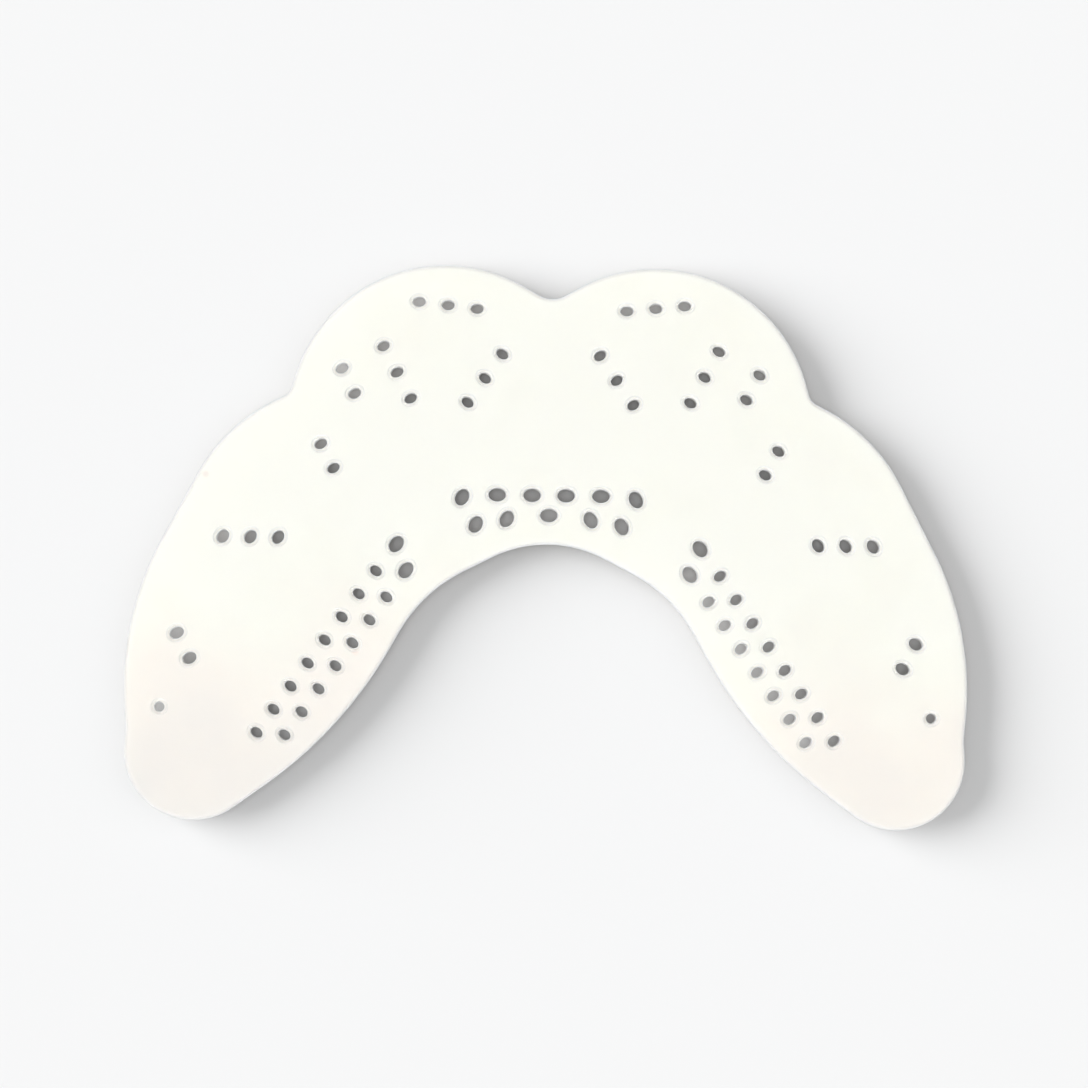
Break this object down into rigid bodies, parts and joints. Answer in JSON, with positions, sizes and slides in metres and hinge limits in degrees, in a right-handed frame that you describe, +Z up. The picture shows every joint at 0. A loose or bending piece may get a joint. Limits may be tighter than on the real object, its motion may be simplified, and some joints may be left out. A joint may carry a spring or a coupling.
{
  "type": "mouthguard blank",
  "caption": "Thin flat horseshoe-shaped mouthguard sheet with lobed edges and rows of small tapered oval holes, as it is before warming and fitting.",
  "frame": {"origin": "centre of the sheet's plan box, on the underside that it lies on", "axes": "+X across the limbs to the right in the picture, +Y from the tips of the limbs to the front lobes, +Z up out of the face with the flared hole mouths"},
  "size_m": [0.0842, 0.0558, 0.0016],
  "materials": {
    "guard_plastic": "smooth warm white thermoplastic with a soft satin sheen"
  },
  "bodies": {
    "root": {"guard_sheet": "guard_plastic"}
  },
  "joints": []
}
